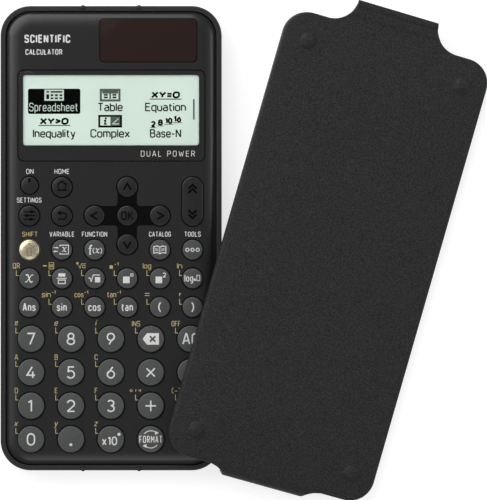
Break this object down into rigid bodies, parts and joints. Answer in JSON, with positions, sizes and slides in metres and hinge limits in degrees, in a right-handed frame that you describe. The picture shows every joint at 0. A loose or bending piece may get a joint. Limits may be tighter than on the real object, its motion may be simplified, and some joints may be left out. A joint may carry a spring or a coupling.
{
  "type": "scientific calculator",
  "caption": "Pocket scientific calculator with a dot-matrix display, a solar panel and round keys, and its separate hard cover leaning beside it.",
  "frame": {"origin": "centre of the calculator's back face, which lies on the table", "axes": "+X to the right of the keypad seen from the front, +Y towards the display end, +Z out of the front"},
  "size_m": [0.1703, 0.1753, 0.0173],
  "materials": {
    "case_black": "satin",
    "panel_black": "fine satin",
    "key_grey": "satin",
    "key_black": "satin",
    "key_gold": "metallic paint",
    "cover_black": "fine leather grain",
    "window_clear": "polished",
    "lcd_glass": "matt reflective display",
    "solar_glass": "polished",
    "board_green": "solder mask",
    "rubber_grey": "matt",
    "steel": "satin"
  },
  "bodies": {
    "calculator": {"rear_case": "case_black", "front_case": "panel_black", "display_window": "window_clear", "lcd_panel": "lcd_glass", "solar_panel": "solar_glass", "circuit_board": "board_green", "key_mat": "rubber_grey", "display_connector": "rubber_grey", "button_cell": "steel", "battery_contact": "steel", "battery_cover": "case_black", "battery_screw": "steel"},
    "on_key": {"on_key": "key_black"},
    "home_key": {"home_key": "key_black"},
    "up_key": {"up_key": "key_black"},
    "settings_key": {"settings_key": "key_black"},
    "back_key": {"back_key": "key_black"},
    "left_key": {"left_key": "key_black"},
    "ok_key": {"ok_key": "key_black"},
    "right_key": {"right_key": "key_black"},
    "down_key": {"down_key": "key_black"},
    "page_key": {"page_key": "key_black"},
    "shift_key": {"shift_key": "key_gold"},
    "variable_key": {"variable_key": "key_grey"},
    "function_key": {"function_key": "key_grey"},
    "catalog_key": {"catalog_key": "key_grey"},
    "tools_key": {"tools_key": "key_grey"},
    "x_key": {"x_key": "key_grey"},
    "fraction_key": {"fraction_key": "key_grey"},
    "root_key": {"root_key": "key_grey"},
    "power_key": {"power_key": "key_grey"},
    "square_key": {"square_key": "key_grey"},
    "log_key": {"log_key": "key_grey"},
    "answer_key": {"answer_key": "key_grey"},
    "sin_key": {"sin_key": "key_grey"},
    "cos_key": {"cos_key": "key_grey"},
    "tan_key": {"tan_key": "key_grey"},
    "open_bracket_key": {"open_bracket_key": "key_grey"},
    "close_bracket_key": {"close_bracket_key": "key_grey"},
    "seven_key": {"seven_key": "key_grey"},
    "eight_key": {"eight_key": "key_grey"},
    "nine_key": {"nine_key": "key_grey"},
    "delete_key": {"delete_key": "key_grey"},
    "clear_key": {"clear_key": "key_grey"},
    "four_key": {"four_key": "key_grey"},
    "five_key": {"five_key": "key_grey"},
    "six_key": {"six_key": "key_grey"},
    "multiply_key": {"multiply_key": "key_grey"},
    "divide_key": {"divide_key": "key_grey"},
    "one_key": {"one_key": "key_grey"},
    "two_key": {"two_key": "key_grey"},
    "three_key": {"three_key": "key_grey"},
    "add_key": {"add_key": "key_grey"},
    "subtract_key": {"subtract_key": "key_grey"},
    "zero_key": {"zero_key": "key_grey"},
    "point_key": {"point_key": "key_grey"},
    "exponent_key": {"exponent_key": "key_grey"},
    "format_key": {"format_key": "key_grey"},
    "execute_key": {"execute_key": "key_grey"},
    "hard_cover": {"hard_cover": "cover_black"}
  },
  "joints": [
    {"name": "on_press", "type": "slide", "parent": "calculator", "child": "on_key", "axis": [0, 0, -1], "range_m": [0, 0.001], "stiffness_N_per_m": 600},
    {"name": "home_press", "type": "slide", "parent": "calculator", "child": "home_key", "axis": [0, 0, -1], "range_m": [0, 0.001], "stiffness_N_per_m": 600},
    {"name": "up_press", "type": "slide", "parent": "calculator", "child": "up_key", "axis": [0, 0, -1], "range_m": [0, 0.001], "stiffness_N_per_m": 600},
    {"name": "settings_press", "type": "slide", "parent": "calculator", "child": "settings_key", "axis": [0, 0, -1], "range_m": [0, 0.001], "stiffness_N_per_m": 600},
    {"name": "back_press", "type": "slide", "parent": "calculator", "child": "back_key", "axis": [0, 0, -1], "range_m": [0, 0.001], "stiffness_N_per_m": 600},
    {"name": "left_press", "type": "slide", "parent": "calculator", "child": "left_key", "axis": [0, 0, -1], "range_m": [0, 0.001], "stiffness_N_per_m": 600},
    {"name": "ok_press", "type": "slide", "parent": "calculator", "child": "ok_key", "axis": [0, 0, -1], "range_m": [0, 0.001], "stiffness_N_per_m": 600},
    {"name": "right_press", "type": "slide", "parent": "calculator", "child": "right_key", "axis": [0, 0, -1], "range_m": [0, 0.001], "stiffness_N_per_m": 600},
    {"name": "down_press", "type": "slide", "parent": "calculator", "child": "down_key", "axis": [0, 0, -1], "range_m": [0, 0.001], "stiffness_N_per_m": 600},
    {"name": "page_rock", "type": "hinge", "parent": "calculator", "child": "page_key", "pos_m": [0.0285, 0.0128, 0.0071], "axis": [1, 0, 0], "range_deg": [-4, 4], "stiffness_Nm_per_rad": 0.07},
    {"name": "shift_press", "type": "slide", "parent": "calculator", "child": "shift_key", "axis": [0, 0, -1], "range_m": [0, 0.001], "stiffness_N_per_m": 600},
    {"name": "variable_press", "type": "slide", "parent": "calculator", "child": "variable_key", "axis": [0, 0, -1], "range_m": [0, 0.001], "stiffness_N_per_m": 600},
    {"name": "function_press", "type": "slide", "parent": "calculator", "child": "function_key", "axis": [0, 0, -1], "range_m": [0, 0.001], "stiffness_N_per_m": 600},
    {"name": "catalog_press", "type": "slide", "parent": "calculator", "child": "catalog_key", "axis": [0, 0, -1], "range_m": [0, 0.001], "stiffness_N_per_m": 600},
    {"name": "tools_press", "type": "slide", "parent": "calculator", "child": "tools_key", "axis": [0, 0, -1], "range_m": [0, 0.001], "stiffness_N_per_m": 600},
    {"name": "x_press", "type": "slide", "parent": "calculator", "child": "x_key", "axis": [0, 0, -1], "range_m": [0, 0.001], "stiffness_N_per_m": 600},
    {"name": "fraction_press", "type": "slide", "parent": "calculator", "child": "fraction_key", "axis": [0, 0, -1], "range_m": [0, 0.001], "stiffness_N_per_m": 600},
    {"name": "root_press", "type": "slide", "parent": "calculator", "child": "root_key", "axis": [0, 0, -1], "range_m": [0, 0.001], "stiffness_N_per_m": 600},
    {"name": "power_press", "type": "slide", "parent": "calculator", "child": "power_key", "axis": [0, 0, -1], "range_m": [0, 0.001], "stiffness_N_per_m": 600},
    {"name": "square_press", "type": "slide", "parent": "calculator", "child": "square_key", "axis": [0, 0, -1], "range_m": [0, 0.001], "stiffness_N_per_m": 600},
    {"name": "log_press", "type": "slide", "parent": "calculator", "child": "log_key", "axis": [0, 0, -1], "range_m": [0, 0.001], "stiffness_N_per_m": 600},
    {"name": "answer_press", "type": "slide", "parent": "calculator", "child": "answer_key", "axis": [0, 0, -1], "range_m": [0, 0.001], "stiffness_N_per_m": 600},
    {"name": "sin_press", "type": "slide", "parent": "calculator", "child": "sin_key", "axis": [0, 0, -1], "range_m": [0, 0.001], "stiffness_N_per_m": 600},
    {"name": "cos_press", "type": "slide", "parent": "calculator", "child": "cos_key", "axis": [0, 0, -1], "range_m": [0, 0.001], "stiffness_N_per_m": 600},
    {"name": "tan_press", "type": "slide", "parent": "calculator", "child": "tan_key", "axis": [0, 0, -1], "range_m": [0, 0.001], "stiffness_N_per_m": 600},
    {"name": "open_bracket_press", "type": "slide", "parent": "calculator", "child": "open_bracket_key", "axis": [0, 0, -1], "range_m": [0, 0.001], "stiffness_N_per_m": 600},
    {"name": "close_bracket_press", "type": "slide", "parent": "calculator", "child": "close_bracket_key", "axis": [0, 0, -1], "range_m": [0, 0.001], "stiffness_N_per_m": 600},
    {"name": "seven_press", "type": "slide", "parent": "calculator", "child": "seven_key", "axis": [0, 0, -1], "range_m": [0, 0.001], "stiffness_N_per_m": 600},
    {"name": "eight_press", "type": "slide", "parent": "calculator", "child": "eight_key", "axis": [0, 0, -1], "range_m": [0, 0.001], "stiffness_N_per_m": 600},
    {"name": "nine_press", "type": "slide", "parent": "calculator", "child": "nine_key", "axis": [0, 0, -1], "range_m": [0, 0.001], "stiffness_N_per_m": 600},
    {"name": "delete_press", "type": "slide", "parent": "calculator", "child": "delete_key", "axis": [0, 0, -1], "range_m": [0, 0.001], "stiffness_N_per_m": 600},
    {"name": "clear_press", "type": "slide", "parent": "calculator", "child": "clear_key", "axis": [0, 0, -1], "range_m": [0, 0.001], "stiffness_N_per_m": 600},
    {"name": "four_press", "type": "slide", "parent": "calculator", "child": "four_key", "axis": [0, 0, -1], "range_m": [0, 0.001], "stiffness_N_per_m": 600},
    {"name": "five_press", "type": "slide", "parent": "calculator", "child": "five_key", "axis": [0, 0, -1], "range_m": [0, 0.001], "stiffness_N_per_m": 600},
    {"name": "six_press", "type": "slide", "parent": "calculator", "child": "six_key", "axis": [0, 0, -1], "range_m": [0, 0.001], "stiffness_N_per_m": 600},
    {"name": "multiply_press", "type": "slide", "parent": "calculator", "child": "multiply_key", "axis": [0, 0, -1], "range_m": [0, 0.001], "stiffness_N_per_m": 600},
    {"name": "divide_press", "type": "slide", "parent": "calculator", "child": "divide_key", "axis": [0, 0, -1], "range_m": [0, 0.001], "stiffness_N_per_m": 600},
    {"name": "one_press", "type": "slide", "parent": "calculator", "child": "one_key", "axis": [0, 0, -1], "range_m": [0, 0.001], "stiffness_N_per_m": 600},
    {"name": "two_press", "type": "slide", "parent": "calculator", "child": "two_key", "axis": [0, 0, -1], "range_m": [0, 0.001], "stiffness_N_per_m": 600},
    {"name": "three_press", "type": "slide", "parent": "calculator", "child": "three_key", "axis": [0, 0, -1], "range_m": [0, 0.001], "stiffness_N_per_m": 600},
    {"name": "add_press", "type": "slide", "parent": "calculator", "child": "add_key", "axis": [0, 0, -1], "range_m": [0, 0.001], "stiffness_N_per_m": 600},
    {"name": "subtract_press", "type": "slide", "parent": "calculator", "child": "subtract_key", "axis": [0, 0, -1], "range_m": [0, 0.001], "stiffness_N_per_m": 600},
    {"name": "zero_press", "type": "slide", "parent": "calculator", "child": "zero_key", "axis": [0, 0, -1], "range_m": [0, 0.001], "stiffness_N_per_m": 600},
    {"name": "point_press", "type": "slide", "parent": "calculator", "child": "point_key", "axis": [0, 0, -1], "range_m": [0, 0.001], "stiffness_N_per_m": 600},
    {"name": "exponent_press", "type": "slide", "parent": "calculator", "child": "exponent_key", "axis": [0, 0, -1], "range_m": [0, 0.001], "stiffness_N_per_m": 600},
    {"name": "format_press", "type": "slide", "parent": "calculator", "child": "format_key", "axis": [0, 0, -1], "range_m": [0, 0.001], "stiffness_N_per_m": 600},
    {"name": "execute_press", "type": "slide", "parent": "calculator", "child": "execute_key", "axis": [0, 0, -1], "range_m": [0, 0.001], "stiffness_N_per_m": 600},
    {"name": "cover_lift", "type": "slide", "parent": "calculator", "child": "hard_cover", "axis": [0, 0, 1], "range_m": [0, 0.06]}
  ]
}
